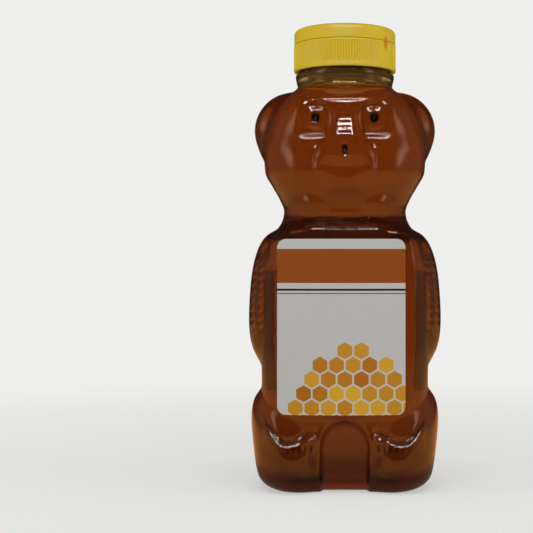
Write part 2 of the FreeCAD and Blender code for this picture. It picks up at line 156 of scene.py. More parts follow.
MOUTH_HALF_WIDTH = 10.4
MOUTH_DEPTH = 0.78
MOUTH_CORNER = 0.2

ARCH_HALF_WIDTH = 10.0
ARCH_CENTRE_HEIGHT = 18.4
ARCH_TOP_DEPTH = 2.2
ARCH_FOOT_DEPTH = 4.4
ARCH_EDGE = 1.8
PANEL_BOW_RADIUS = 150.0
PANEL_CORNER = 5.0
PANEL_EDGE = 1.0
FRONT_PANEL = dict(depth=27.8, half_width=26.4, foot=30.2, top=101.2)
BACK_PANEL = dict(depth=29.4, half_width=23.6, foot=35.6, top=87.4)

# The line of the fold over each foot, from the arch outwards: how far aside, height
FOLD_LINE = [
    (10.0, 23.0), (14.1, 22.6), (17.4, 21.2), (21.3, 20.0), (23.8, 20.2), (27.6, 23.3), (30.9, 28.5),
    (36.0, 40.0),
]
FOLD_DEPTH = 0.8
FOLD_HALF = 1.2
FOOT_PROUD = 1.7
FOOT_EDGE = (-0.2, 1.3)
FOOT_REACH = 15.0
FOOT_INNER = (ARCH_HALF_WIDTH, 13.0)
FOOT_OUTER = (29.0, 33.0)
TOE_FIRST = 13.0
TOE_PITCH = 2.3
TOE_COUNT = 5
TOE_HEIGHT = 17.4
TOE_HALF_HEIGHT = 3.0
TOE_GAP = 0.45
TOE_DEPTH = 0.45
FUR_ANGLES = (60.0, 67.0)
FUR_HALF_ANGLE = 4.0
FUR_FOOT = 60.0
FUR_TOP = 93.0
FUR_PITCH = 3.2
FUR_PROUD = 0.8
FUR_END = 5.0
FUR_SLANT = 0.3

NECK_OUTLINE = [
    (19.7, 163.2), (20.0, 164.4), (20.0, 165.4), (17.65, 166.2), (17.65, 174.8), (17.15, 175.3),
]
NECK_FOOT = 162.6
NECK_STEM = (18.3, 19.6)
NECK_FLARE = (158.0, 163.0)
NECK_BLEND = 1.6
NECK_RING = dict(pitch=1.3, proud=0.1)
BORE = 15.9
THREAD_FOOT = 168.2
THREAD_START = math.radians(90)
THREAD_PITCH = 4.233
THREAD_TURNS = 1.25
THREAD_PROUD = 1.05
THREAD_CREST = 0.4
THREAD_HALF = 1.25
THREAD_RUN_OUT = 0.06
BASE_MIDDLE = 15.0
PUSH_UP_RADIUS = 14.0
PUSH_UP_HEIGHT = 2.0

# Rings of the mesh: shares of the base's reach, then heights to go up to and the step on the way
BASE_RINGS = (0.0, 0.15, 0.3, 0.42, 0.5, 0.62, 0.75, 0.88, 0.96)
OUTSIDE_ROWS = [(36, 0.9), (58, 3.0), (95, 0.85), (119, 0.8), (134, 0.42), (153, 0.5), (NECK_FOOT, 0.6)]
INSIDE_ROWS = [(36, 1.2), (100, 3.0), (156, 1.0), (HONEY_LEVEL, 1.2)]
NECK_STEP = 0.6
BORE_STEP = 2.0
FILM_STEP = 1.2
EASED_FROM = 0.5
EASING = 0.3


def along_stations(stations, place):
    """The columns of a table of stations at the given places, on curves that never swing past a station."""
    places, *columns = np.array(stations).T
    low = np.clip(np.searchsorted(places, place) - 1, 0, len(places) - 2)
    span = places[low + 1] - places[low]
    share = np.clip((place - places[low]) / span, 0.0, 1.0)
    values = []
    for column in columns:
        rise = np.diff(column) / np.diff(places)
        before, after = np.append(rise[0], rise), np.append(rise, rise[-1])
        same_way = before * after > 0
        slope = np.where(same_way, 2 * before * after / np.where(same_way, before + after, 1.0), 0.0)
        from_low = column[low] * (1 + 2 * share) + slope[low] * span * share
        from_high = column[low + 1] * (3 - 2 * share) + slope[low + 1] * span * (share - 1)
        values.append(from_low * (1 - share) ** 2 + from_high * share ** 2)
    return values


def soft_max(first, second, blend):
    """The larger of two sizes, with a fillet where they are close."""
    near = np.maximum(blend - np.abs(first - second), 0.0) / blend
    return np.maximum(first, second) + near * near * blend / 4


def climb(value, start, end):
    """0 before start and 1 after end, rising smoothly between them."""
    share = np.clip((value - start) / (end - start), 0.0, 1.0)
    return share * share * (3 - 2 * share)


def swell(across, along=0.0):
    """A round pillow: 1 in the middle, 0 where the two shares of its half sizes reach its edge."""
    return np.maximum(1 - across * across - along * along, 0.0) ** 1.5


def pillow(aside, height, form):
    """How proud a round form is: how far aside it sits, its height, half width, half height and how proud."""
    centre, level, half_width, half_height, proud = form
    return proud * swell((aside - centre) / half_width, (height - level) / half_height)


def limb_radius(angle, height, limb):
    """How far out a ray from the axis leaves a limb, or 0 where it misses."""
    rise = height - limb["centre"][2]
    share = np.minimum(np.abs(rise) / limb["half"][2], 1.0)
    size = np.maximum(1 - share ** limb["power"], 1e-6) ** (1 / limb["power"])
    centre_x = limb["centre"][0] + limb["lean"][0] * rise
    centre_y = limb["centre"][1] + limb["lean"][1] * rise
    half_x, half_y = limb["half"][0] * size, limb["half"][1] * size
    out_x, out_y = np.sin(angle), -np.cos(angle)
    square = (out_x / half_x) ** 2 + (out_y / half_y) ** 2
    middle = out_x * centre_x / half_x ** 2 + out_y * centre_y / half_y ** 2
    offset = (centre_x / half_x) ** 2 + (centre_y / half_y) ** 2 - 1
    root = middle ** 2 - square * offset
    hit = (middle + np.sqrt(np.maximum(root, 0.0))) / square
    return np.where((root > 0) & (share < 1), hit, 0.0)


def on_panel(radius, angle, height, panel):
    """Presses the skin flat, or nearly so, inside the rounded outline of a label panel."""
    axis = PANEL_BOW_RADIUS - panel["depth"]
    along = axis * np.cos(angle)
    flat = np.sqrt(along ** 2 + PANEL_BOW_RADIUS ** 2 - axis ** 2) - along
    out_x = np.abs(flat * np.sin(angle)) - panel["half_width"] + PANEL_CORNER
    middle, half_height = (panel["foot"] + panel["top"]) / 2, (panel["top"] - panel["foot"]) / 2
    out_z = np.abs(height - middle) - half_height + PANEL_CORNER
    outside = np.hypot(np.maximum(out_x, 0), np.maximum(out_z, 0)) + np.minimum(np.maximum(out_x, out_z), 0)
    pressed = (1 - climb(outside - PANEL_CORNER, 0.0, PANEL_EDGE)) * (np.cos(angle) > 0)
    return radius + (flat - radius) * pressed


def arch_depth(aside, height):
    """Depth of the arch between the legs."""
    outside = np.hypot(aside, np.maximum(height - ARCH_CENTRE_HEIGHT, 0.0)) - ARCH_HALF_WIDTH
    low = 1 - np.minimum(height / (ARCH_CENTRE_HEIGHT + ARCH_HALF_WIDTH), 1.0)
    return (ARCH_TOP_DEPTH + (ARCH_FOOT_DEPTH - ARCH_TOP_DEPTH) * low) * (1 - climb(outside, -ARCH_EDGE, 0.0))


def mouth_depth(aside, height):
    """Depth of the mouth: deepest along its line, from where the upper lip and the lower lip lean out."""
    across = np.minimum(aside / MOUTH_HALF_WIDTH, 1.0) ** 2
    foot = LIP_FOOT[0] + LIP_FOOT[1] * across
    line = np.maximum(MOUTH_LINE[0] + MOUTH_LINE[1] * across, foot + MOUTH_CORNER)
    opening = MOUTH_DEPTH * (line - foot) / (MOUTH_LINE[0] - LIP_FOOT[0])
    lower_lip = np.clip((height - foot) / (line - foot), 0.0, 1.0)
    upper_lip = np.clip((LIP_TOP - height) / (LIP_TOP - line), 0.0, 1.0)
    return opening * lower_lip * upper_lip


def face_relief(aside, depth, height):
    """Brows, eyes, cheeks, ear cups and muzzle, as a distance forwards of the head's plain front."""
    proud = np.zeros_like(height)
    for form in FACE_SWELLS:
        proud += pillow(aside, height, form)
    socket = climb(height, *SOCKET_FOOT) * (1 - climb(height, *SOCKET_TOP))
    socket *= climb(aside, *SOCKET_INNER) * (1 - climb(aside, *SOCKET_OUTER))
    proud += (SOCKET_FLOOR - depth - proud) * socket
    across, up = aside - EYE_ASIDE, height - EYE_HEIGHT
    rim = 1 - climb(np.hypot(across, up), EYE_RIM - EYE_RIM_FADE, EYE_RIM)
    leaning = np.minimum(np.hypot(across, np.where(up > 0, up, EYE_LOWER_SHARE * up)), EYE_RIM)
    dome = np.sqrt(EYE_RADIUS ** 2 - leaning ** 2) - math.sqrt(EYE_RADIUS ** 2 - EYE_RIM ** 2)
    proud += dome * np.where(up > 0, 1.0, rim) + pillow(aside, height, PUPIL)

    half_width, muzzle_proud = along_stations(MUZZLE_STATIONS, height)
    inside = np.maximum(1 - (aside / half_width) ** MUZZLE_SQUARENESS, 0.0)
    fall = CHIN_FALL + (MUZZLE_FALL - CHIN_FALL) * climb(height, LIP_FOOT[0] - CHIN_RUN, MOUTH_LINE[0])
    muzzle = muzzle_proud * inside ** fall - mouth_depth(aside, height)
    muzzle -= MUZZLE_SINK * (1 - climb(inside, 0.0, MUZZLE_EDGE))
    return soft_max(proud, muzzle + pillow(aside, height, NOSE_DIMPLE), MUZZLE_CREASE)


def foot_relief(aside, height, outer):
    """The fold where the belly meets a foot, its rounded top and, outside, grooves between the toes."""
    below = along_stations(FOLD_LINE, aside)[0] - height
    ends = climb(aside, *FOOT_INNER) * (1 - climb(aside, *FOOT_OUTER))
    foot = climb(below, *FOOT_EDGE) * (1 - climb(below, FOOT_EDGE[1], FOOT_REACH))
    proud = FOOT_PROUD * foot - FOLD_DEPTH * swell((below + FOLD_HALF / 2) / FOLD_HALF)
    for k in range(TOE_COUNT):
        groove = (TOE_FIRST + k * TOE_PITCH, TOE_HEIGHT, TOE_GAP * TOE_PITCH, TOE_HALF_HEIGHT, -TOE_DEPTH)
        proud += outer * pillow(aside, height, groove)
    return proud * ends


def fur_lift(angle, height):
    """Short combed tufts down the arms."""
    along = climb(height, FUR_FOOT, FUR_FOOT + FUR_END) * (1 - climb(height, FUR_TOP - FUR_END, FUR_TOP))
    lift = np.zeros_like(height)
    for fur_angle in FUR_ANGLES:
        across = (np.degrees(angle) - fur_angle) / FUR_HALF_ANGLE
        stroke = np.sin(2 * np.pi * (height / FUR_PITCH + FUR_SLANT * across))
        lift += FUR_PROUD * along * swell(across) * (0.5 + 0.5 * stroke)
    return lift


def mould(angle, height, inset):
    """x and y of the bear's mould, less an inset, at angles from the front and heights from the table.

    The mould's finest relief, fur and toes, shows on the outside only; the inside of the wall evens it out.
    """
    turn = np.abs(angle)
    outer = np.equal(inset, 0.0)
    in_front = np.cos(turn) > 0
    half_width, front, back, front_power, back_power = along_stations(BODY_STATIONS, height)
    power = np.where(in_front, front_power, back_power)
    across = (np.sin(turn) / half_width) ** power
    along = (np.abs(np.cos(turn)) / np.where(in_front, front, back)) ** power
    radius = (across + along) ** (-1 / power)
    for limb in LIMBS:
        radius = soft_max(radius, limb_radius(turn, height, limb), limb["blend"])
    radius += fur_lift(turn, height) * outer
    radius = on_panel(radius, turn, height, FRONT_PANEL)
    radius = on_panel(radius, np.pi - turn, height, BACK_PANEL)
    heel = np.maximum(HEEL_RADIUS - height, 0.0)
    radius -= HEEL_RADIUS - np.sqrt(HEEL_RADIUS ** 2 - heel ** 2)
    flare = NECK_STEM[0] + (NECK_STEM[1] - NECK_STEM[0]) * climb(height, *NECK_FLARE)
    rings = NECK_RING["proud"] * np.sin(2 * np.pi * height / NECK_RING["pitch"])
    stem = np.where(height > NECK_FLARE[0], flare + rings, 0.0)
    radius = soft_max(radius, stem, NECK_BLEND) - inset
    x, y = radius * np.sin(turn), -radius * np.cos(turn)
    relief = np.where(height > FACE_FOOT, face_relief(x, inset - y, height), 0.0)
    legs = foot_relief(x, height, outer) - arch_depth(x, height)
    relief += np.where(height < FRONT_PANEL["foot"], legs, 0.0)
    relief += pillow(x, height, SHOULDER) + pillow(x, height, CREASE)
    return np.sign(angle) * x, y - np.where(in_front, relief, 0.0)


def thread_lift(angle, height, foot, turns, start):
    """How far a screw thread stands proud; it starts at a height and an angle and climbs to the right."""
    turn = ((angle - start) / (2 * np.pi)) % 1.0
    lift = np.zeros_like(height)
    for lap in (0, 1):
        climbed = turn + lap
        ends = np.clip(np.minimum(climbed, turns - climbed) / THREAD_RUN_OUT, 0.0, 1.0)
        from_crest = np.abs(height - foot - THREAD_PITCH * climbed)
        lift += THREAD_PROUD * ends * (1 - climb(from_crest, THREAD_CREST, THREAD_HALF))
    return lift


def even_rows(*stops):
    """Heights from stop to stop in equal steps: the first stop, then pairs of the next stop and a step."""
    rows = [stops[0]]
    for end, step in stops[1:]:
        count = max(round(abs(end - rows[-1]) / step), 1)
        rows += list(np.linspace(rows[-1], end, count + 1)[1:])
    return rows


def heel_rows(foot):
    """Heights that follow the rounded heel up from the base."""
    turns = [k / HEEL_STEPS * math.pi / 2 for k in range(HEEL_STEPS)]
    return [foot + (HEEL_RADIUS - foot) * (1 - math.cos(turn)) for turn in turns]


def spun_tube(outline, inside_from, steps):
    """A tube of revolution from (radius, height) points; the layer skin is 1 from a given point onwards."""
    tube = bmesh.new()
    skin = tube.verts.layers.int.new("skin")
    chain = []
    for k, (radius, height) in enumerate(outline):
        vert = tube.verts.new((0.0, -radius, height))
        vert[skin] = int(k >= inside_from)
        chain.append(vert)
    edges = [tube.edges.new(pair) for pair in zip(chain, chain[1:])]
    bmesh.ops.spin(tube, geom=chain + edges, axis=(0, 0, 1), angle=2 * math.pi, steps=steps, use_merge=True)
    bmesh.ops.remove_doubles(tube, verts=tube.verts, dist=1e-5)
    bmesh.ops.recalc_face_normals(tube, faces=tube.faces)
    return tube, skin


def tube_places(tube, skin):
    """Arrays of a tube's angles, reaches, heights and skins; its columns are drawn together at the front."""
    x, y, height = np.array([vert.co for vert in tube.verts]).T
    angle = np.arctan2(x, -y)
    skins = np.array([vert[skin] for vert in tube.verts])
    return angle - FRONT_CROWDING * np.sin(angle), np.hypot(x, y), height, skins


def move_verts(mesh, x, y, height):
    """Moves a mesh's vertices to the places that three arrays give."""
    for vert, place in zip(mesh.verts, np.stack((x, y, height), axis=1)):
        vert.co = place


def push_up(x, y, share):
    """Height of the dome that stiffens the middle of the base, on the rings inside the wall."""
    dome = PUSH_UP_HEIGHT * np.maximum(1 - (x * x + y * y) / PUSH_UP_RADIUS ** 2, 0.0)
    return np.where(share < BASE_RINGS[-1] + NEARLY, dome, 0.0)


outside = [(share * PREFORM_OUTSIDE, 0.0) for share in BASE_RINGS]
outside += [(PREFORM_OUTSIDE, z) for z in heel_rows(0.0) + even_rows(HEEL_RADIUS, *OUTSIDE_ROWS)]
neck = []
for (radius, height), (next_radius, next_height) in zip(NECK_OUTLINE, NECK_OUTLINE[1:]):
    for z in even_rows(height, (next_height, NECK_STEP))[:-1]:
        share = (z - height) / (next_height - height)
        neck.append((radius + (next_radius - radius) * share, z))
neck.append(NECK_OUTLINE[-1])
inside_rows = even_rows(HEEL_RADIUS, *INSIDE_ROWS)
inside = [(BORE, z) for z in even_rows(NECK_OUTLINE[-1][1], (NECK_FOOT, BORE_STEP))]
inside += [(PREFORM_INSIDE, z) for z in even_rows(NECK_FOOT - WALL, (HONEY_LEVEL, FILM_STEP))[:-1]]
inside += [(PREFORM_INSIDE, z) for z in inside_rows[::-1] + heel_rows(BASE_WALL)[::-1]]
inside += [(share * PREFORM_INSIDE, BASE_WALL) for share in BASE_RINGS[::-1]]

bottle, skin_layer = spun_tube(outside + neck + inside, len(outside + neck), SEGMENTS)
angle, reach, height, skins = tube_places(bottle, skin_layer)
blown = (height < NECK_FOOT + NEARLY) & (reach < BORE - NEARLY)
share = reach / np.where(skins, PREFORM_INSIDE, PREFORM_OUTSIDE)
mould_x, mould_y = mould(angle, np.minimum(height, NECK_FOOT), np.where(skins, WALL, 0.0))
neck_reach = reach + np.where(skins, 0.0, thread_lift(angle, height, THREAD_FOOT, THREAD_TURNS, THREAD_START))
x = np.where(blown, share * mould_x, neck_reach * np.sin(angle))
y = np.where(blown, BASE_MIDDLE + share * (mould_y - BASE_MIDDLE), -neck_reach * np.cos(angle))
move_verts(bottle, x, y, height + np.where(blown, push_up(x, y, share), 0.0))
eased = [vert for vert in bottle.verts if not vert[skin_layer] and EASED_FROM < vert.co.z < NECK_FOOT]
bmesh.ops.smooth_vert(bottle, verts=eased, factor=EASING, use_axis_x=True, use_axis_y=True, use_axis_z=True)


def linear(hex_colour):
    """A linear RGBA colour from an sRGB hex value."""
    channels = [int(hex_colour[k:k + 2], 16) / 255 for k in (1, 3, 5)]
    return tuple(c / 12.92 if c <= 0.04045 else ((c + 0.055) / 1.055) ** 2.4 for c in channels) + (1.0,)


def add_node(owner, kind, inputs, **settings):
    """Adds a shader node, applies its settings, and sets or links the inputs given by name or number.

    A node that is given for an input is linked by its first output that is in use.
    """
    made = owner.node_tree.nodes.new("ShaderNode" + kind)
    for name, value in settings.items():
        setattr(made, name, value)
    for name, value in inputs.items():
        if isinstance(value, bpy.types.Node):
            value = next(socket for socket in value.outputs if socket.enabled)
        if isinstance(value, bpy.types.NodeSocket):
            owner.node_tree.links.new(value, made.inputs[name])
        else:
            made.inputs[name].default_value = value
    return made


def start_material(name):
    """A new material with nothing in its node tree but the object coordinates, and their socket."""
    material = bpy.data.materials.new(name)
    material.use_nodes = True
    material.node_tree.nodes.clear()
    return material, add_node(material, "TexCoord", {}).outputs["Object"]


def both_sides(owner, place):
    """The place with its left side folded onto its right one."""
    axes = add_node(owner, "SeparateXYZ", {"Vector": place})
    aside = add_node(owner, "Math", {0: axes.outputs["X"]}, operation="ABSOLUTE")
    return add_node(owner, "CombineXYZ", {"X": aside, "Y": axes.outputs["Y"], "Z": axes.outputs["Z"]})


def share_of(owner, place, middle, half):
    """The place counted from a middle in shares of half sizes, which are in millimetres."""
    from_middle = add_node(owner, "VectorMath", {
        0: place, 1: tuple(size * MM for size in middle),
    }, operation="SUBTRACT")
    return add_node(owner, "VectorMath", {
        0: from_middle, 1: tuple(1 / (size * MM) for size in half),
    }, operation="MULTIPLY")


def make_piece(name, mesh, materials, sharp_degrees):
    """A finished piece at the origin from a bmesh in millimetres, smooth but for its sharp edges."""
    bmesh.ops.scale(mesh, vec=(MM, MM, MM), verts=mesh.verts)
    data = bpy.data.meshes.new(name)
    mesh.to_mesh(data)
    mesh.free()
    data.shade_smooth()
    data.set_sharp_from_angle(angle=math.radians(sharp_degrees))
    for material in materials:
        data.materials.append(material)
    piece = bpy.data.objects.new(name, data)
    bpy.context.scene.collection.objects.link(piece)
    return piece


# Blown PET: colourless, glass-clear and glossy, with the slow waviness of a wall that was stretched by air.
# Where honey wets the inside, light meets only the small step between the two, which hardly mirrors.
# Above the honey, its thin film on the inside tints the neck. The narrow pits of the pupils, the nose and
# the grooves between the toes carry painted shade: the wall is tinted nearly black there, for the dark of
# their steep walls.
PET_IOR = 1.57
HONEY_IOR = 1.49
PET_FINISHES = [
    ("blown_clear_pet", PET_IOR, "#FBFAF6", 1.0),
    ("blown_clear_pet_wetted", PET_IOR / HONEY_IOR, "#FBFAF6", 1.0),
    ("blown_clear_pet_filmed", PET_IOR, "#B79045", 0.9),
]
WALL_WAVE = 14
PAINTED_PIT_SHADE = "#1C0F08"
PIT_DEEP = 20.0
PAINTED_SHADE_EDGE = (0.75, 1.1)
PITS = [(0.0, 133.4, 1.5, 2.4), (EYE_ASIDE, EYE_HEIGHT, 1.95, 2.35)]
FAR_FROM_PITS = 2.0
TOE_SHADE_LIGHTENING = 0.37
TOE_MIDDLE = (TOE_COUNT - 1) / 2
pet_finishes = []
for pet_name, step, see_through, clearness in PET_FINISHES:
    clear_pet, pet_place = start_material(pet_name)
    pet_waves = add_node(clear_pet, "TexNoise", {
        "Vector": pet_place, "Scale": 1 / (WALL_WAVE * MM), "Detail": 1.0,
    })
    pet_bump = add_node(clear_pet, "Bump", {"Height": pet_waves, "Strength": 0.015, "Distance": 1 * MM})
    pet_side = both_sides(clear_pet, pet_place)
    nearest_pit = FAR_FROM_PITS
    for aside, level, half_width, half_height in PITS:
        pit_half = (half_width, PIT_DEEP, half_height)
        pit_share = share_of(clear_pet, pet_side, (aside, -PIT_DEEP, level), pit_half)
        pit_reach = add_node(clear_pet, "VectorMath", {0: pit_share}, operation="LENGTH")
        nearest_pit = add_node(clear_pet, "Math", {0: pit_reach, 1: nearest_pit}, operation="MINIMUM")
    first_groove = (TOE_FIRST, -PIT_DEEP, TOE_HEIGHT)
    toe_share = share_of(clear_pet, pet_side, first_groove, (TOE_PITCH, PIT_DEEP, TOE_HALF_HEIGHT))
    toe_axes = add_node(clear_pet, "SeparateXYZ", {"Vector": toe_share})
    from_groove = add_node(clear_pet, "Math", {0: toe_axes.outputs["X"], 1: 0.5}, operation="PINGPONG")
    groove_share = add_node(clear_pet, "Math", {0: from_groove, 1: TOE_GAP}, operation="DIVIDE")
    from_toe = add_node(clear_pet, "CombineXYZ", {
        "X": groove_share, "Y": toe_axes.outputs["Y"], "Z": toe_axes.outputs["Z"],
    })
    toe_reach = add_node(clear_pet, "VectorMath", {0: from_toe}, operation="LENGTH")
    toe_shade_lightened = add_node(clear_pet, "Math", {0: toe_reach, 1: TOE_SHADE_LIGHTENING}, operation="ADD")
    among_toes = add_node(clear_pet, "Math", {
        0: toe_axes.outputs["X"], 1: TOE_MIDDLE, 2: TOE_MIDDLE + 0.5,
    }, operation="COMPARE")
    toe_or_far = add_node(clear_pet, "Mix", {
        "Factor": among_toes, "A": FAR_FROM_PITS, "B": toe_shade_lightened,
    }, data_type="FLOAT")
    # Painted shade: the wall's colour turns nearly black in the pits, and a little paler in the toe grooves
    nearest_painted_shade = add_node(clear_pet, "Math", {0: toe_or_far, 1: nearest_pit}, operation="MINIMUM")
    painted_shade_fade = add_node(clear_pet, "MapRange", {
        "Value": nearest_painted_shade, "From Min": PAINTED_SHADE_EDGE[0], "From Max": PAINTED_SHADE_EDGE[1],
    }, interpolation_type="SMOOTHSTEP")
    pet_tint_with_painted_shade = add_node(clear_pet, "Mix", {
        "Factor": painted_shade_fade, "A": linear(PAINTED_PIT_SHADE), "B": linear(see_through),
    }, data_type="RGBA")
    pet_shader = add_node(clear_pet, "BsdfPrincipled", {
        "Base Color": pet_tint_with_painted_shade, "Roughness": 0.02, "IOR": step, "Transmission Weight": clearness,
        "Normal": pet_bump,
    })
    add_node(clear_pet, "OutputMaterial", {"Surface": pet_shader})
    pet_finishes.append(clear_pet)

for face in bottle.faces:
    inner = all(vert[skin_layer] for vert in face.verts)
    level = face.calc_center_median().z
    if inner and level < HONEY_LEVEL:
        face.material_index = 1
    elif level > HONEY_LEVEL and (inner or level < NECK_OUTLINE[3][1]):
        face.material_index = 2
bear_bottle = make_piece("bear_bottle_blown", bottle, pet_finishes, 50)
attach(bear_bottle, "bottle")
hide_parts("bear_bottle")


# Honey: liquid honey that fills the bear up to the foot of the neck and wets the wall all over.
# Light bends at the PET's two faces, so the honey's own face, just inside the inner one, only colours it.
HONEY_GAP = 0.2
MENISCUS = 0.7
MENISCUS_POWER = 6

honey_rows = [(share * PREFORM_INSIDE, BASE_WALL + HONEY_GAP) for share in BASE_RINGS]
honey_rows += [(PREFORM_INSIDE, z) for z in heel_rows(BASE_WALL + HONEY_GAP) + inside_rows]
honey_rows += [(share * PREFORM_INSIDE, HONEY_LEVEL) for share in BASE_RINGS[::-1]]
honey, honey_skin = spun_tube(honey_rows, len(honey_rows) - len(BASE_RINGS), SEGMENTS)
angle, reach, height, on_top = tube_places(honey, honey_skin)
share = reach / PREFORM_INSIDE
mould_x, mould_y = mould(angle, height, WALL + HONEY_GAP)
middle = np.where(on_top, 0.0, BASE_MIDDLE)
x, y = share * mould_x, middle + share * (mould_y - middle)
hollow = -MENISCUS * (1 - share ** MENISCUS_POWER)
move_verts(honey, x, y, height + np.where(on_top, hollow, push_up(x, y, share)))

# Liquid honey: clear amber that turns redder and darker with depth. Painted shade darkens its colour over the
# sloping shoulders, where one looks down into it, and towards the foot, where the table shadows it, and a
# painted glow reddens it along the foot of the arch, where light comes up from the table.
HONEY_CLOUD = 30
HONEY_AMBERS = ("#A04D11", "#984810")
HONEY_PAINTED_SHADE = "#56240A"
HONEY_PAINTED_GLOW = "#C85818"
# Where each painted shade or glow sets in and ends: along which axis, from where to where, its share at both,
# and how it runs
HONEY_PAINTED_RAMPS = dict(
    slope=("Z", 97.0, 99.5, 0.0, 1.0, "SMOOTHSTEP"),
    waist=("Z", 107.4, 108.6, 1.0, 0.0, "SMOOTHSTEP"),
    foot=("Z", 4.0, 32.0, 0.9, 0.0, "LINEAR"),
    arch=("X", 8.0, 10.0, 1.0, 0.0, "SMOOTHSTEP"),
    rim=("Z", 2.0, 4.5, 1.0, 0.0, "SMOOTHSTEP"),
)
amber_honey, honey_place = start_material("liquid_amber_honey")
honey_axes = add_node(amber_honey, "SeparateXYZ", {"Vector": both_sides(amber_honey, honey_place)})
painted_ramps = {}
for shade, (axis, start, end, at_start, at_end, run) in HONEY_PAINTED_RAMPS.items():
    painted_ramps[shade] = add_node(amber_honey, "MapRange", {
        "Value": honey_axes.outputs[axis], "From Min": start * MM, "From Max": end * MM,
        "To Min": at_start, "To Max": at_end,
    }, interpolation_type=run)
# Painted shade over the shoulders and towards the foot, and a painted glow along the foot of the arch
honey_shoulder_painted_shade = add_node(amber_honey, "Math", {0: painted_ramps["slope"], 1: painted_ramps["waist"]}, operation="MULTIPLY")
honey_painted_shade_share = add_node(amber_honey, "Math", {0: honey_shoulder_painted_shade, 1: painted_ramps["foot"]}, operation="MAXIMUM")
honey_painted_glow_share = add_node(amber_honey, "Math", {0: painted_ramps["arch"], 1: painted_ramps["rim"]}, operation="MULTIPLY")
honey_cloud = add_node(amber_honey, "TexNoise", {
    "Vector": honey_place, "Scale": 1 / (HONEY_CLOUD * MM), "Detail": 2.0,
})
honey_colour = add_node(amber_honey, "Mix", {
    "Factor": honey_cloud, "A": linear(HONEY_AMBERS[0]), "B": linear(HONEY_AMBERS[1]),
}, data_type="RGBA")
for honey_share, tint in ((honey_painted_shade_share, HONEY_PAINTED_SHADE), (honey_painted_glow_share, HONEY_PAINTED_GLOW)):
    honey_colour = add_node(amber_honey, "Mix", {
        "Factor": honey_share, "A": honey_colour, "B": linear(tint),
    }, data_type="RGBA")
honey_shader = add_node(amber_honey, "BsdfPrincipled", {
    "Base Color": honey_colour, "Roughness": 0.0, "IOR": 1.0, "Transmission Weight": 0.7,
})
honey_depth = add_node(amber_honey, "VolumeAbsorption", {"Color": linear("#DDAD27"), "Density": 30.0})
add_node(amber_honey, "OutputMaterial", {"Surface": honey_shader, "Volume": honey_depth})

honey_fill = make_piece("honey_fill_liquid", honey, [amber_honey], 40)
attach(honey_fill, "bottle")
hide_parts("honey_fill")


# Seals: a thin aluminium disc, welded onto the bottle's lip by induction through the closed cap, and a ring
# of white polyethylene foam, punched from sheet and pressed into the cap, which sits on the disc.
# Rolled foil is a dull mirror with a fine grain, and foam is matt, with tiny open cells.
SEALS = [
    dict(node="foil_seal", finish="rolled_aluminium_foil", grain="TexNoise", size=1.5, detail=3.0,
         strength=0.3, depth=0.05, colour="#D6D6D8", metallic=1.0, roughness=0.35),
    dict(node="sealing_washer", finish="punched_pe_foam", grain="TexVoronoi", size=0.5, detail=0.0,
         strength=0.4, depth=0.1, colour="#ECEBE6", metallic=0.0, roughness=0.8),
]
for seal in SEALS:
    seal_finish, seal_place = start_material(seal["finish"])
    seal_grain = add_node(seal_finish, seal["grain"], {
        "Vector": seal_place, "Scale": 1 / (seal["size"] * MM), "Detail": seal["detail"],
    })
    seal_bump = add_node(seal_finish, "Bump", {
        "Height": seal_grain, "Strength": seal["strength"], "Distance": seal["depth"] * MM,
    })
    seal_shader = add_node(seal_finish, "BsdfPrincipled", {
        "Base Color": linear(seal["colour"]), "Metallic": seal["metallic"], "Roughness": seal["roughness"],
        "Normal": seal_bump,
    })
    add_node(seal_finish, "OutputMaterial", {"Surface": seal_shader})
    seal_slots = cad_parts[seal["node"]].data.materials
    seal_slots.clear()
    seal_slots.append(seal_finish)


# Cap: a screw shell with a finely ribbed skirt, moulded in yellow polypropylene in one shot with its lid.
# Its deck carries a spout and a snap collar for the lid, and a thread inside the skirt grips the neck.
CAP_RADIUS = 20.75
CAP_BORE = 19.1
CAP_OUTLINE = [
    (CAP_BORE, 172.0), (CAP_BORE, 167.0), (CAP_RADIUS, 167.0), (CAP_RADIUS, 177.9), (18.6, 177.9),
    (18.6, 179.0), (17.4, 179.0), (17.4, 177.9), (5.2, 177.9), (4.2, 181.6), (3.2, 181.6), (3.2, 176.5),
    (CAP_BORE, 176.5), (CAP_BORE, 172.0),
]
CAP_ROUND = 0.4
CAP_STEP = 0.8
CORNER_SHARE = 0.4
CAP_THREAD_FOOT = 168.6
CAP_THREAD_TURNS = 1.0
CAP_THREAD_START = THREAD_START + math.radians(182.8)
RIB_COUNT = 120
RIB_DEPTH = 0.4
RIB_FOOT = (168.3, 168.8)
RIB_TOP = (176.7, 177.1)
COLUMNS_PER_RIB = 4
THUMB_ANGLE = math.radians(55)
SCOOP_HALF_HEIGHT = 3.7
SCOOP_SLIMNESS = 1.7
SCOOP_DEPTH = 1.4
SCOOP_BALL = (SCOOP_HALF_HEIGHT ** 2 + SCOOP_DEPTH ** 2) / (2 * SCOOP_DEPTH)
SCOOP_MIDDLE = 177.3
SCOOP_SHADE = (2.0, 2.0, 3.6)
SCOOP_PLAIN = (math.radians(12), math.radians(14))
HINGE_PLAIN = (math.radians(162), math.radians(164))
HINGE_FLAT = 20.0
HINGE_WAY = (-math.sin(THUMB_ANGLE), math.cos(THUMB_ANGLE))


def rounded_outline(corners, radius, step):
    """An outline of (radius, height) corners, each rounded, with the runs between divided in steps."""
    points = [Vector(corners[0])]
    for before, corner, after in zip(corners, corners[1:], corners[2:]):
        ways = [Vector(before) - Vector(corner), Vector(after) - Vector(corner)]
        cuts = [min(radius, CORNER_SHARE * way.length) for way in ways]
        start, end = [Vector(corner) + way.normalized() * cut for way, cut in zip(ways, cuts)]
        points += [start, (start + 2 * Vector(corner) + end) / 4, end]
    points.append(Vector(corners[-1]))
    outline = points[:1]
    for last, point in zip(points, points[1:]):
        count = max(round((point - last).length / step), 1)
        outline += [last.lerp(point, k / count) for k in range(1, count + 1)]
    return outline


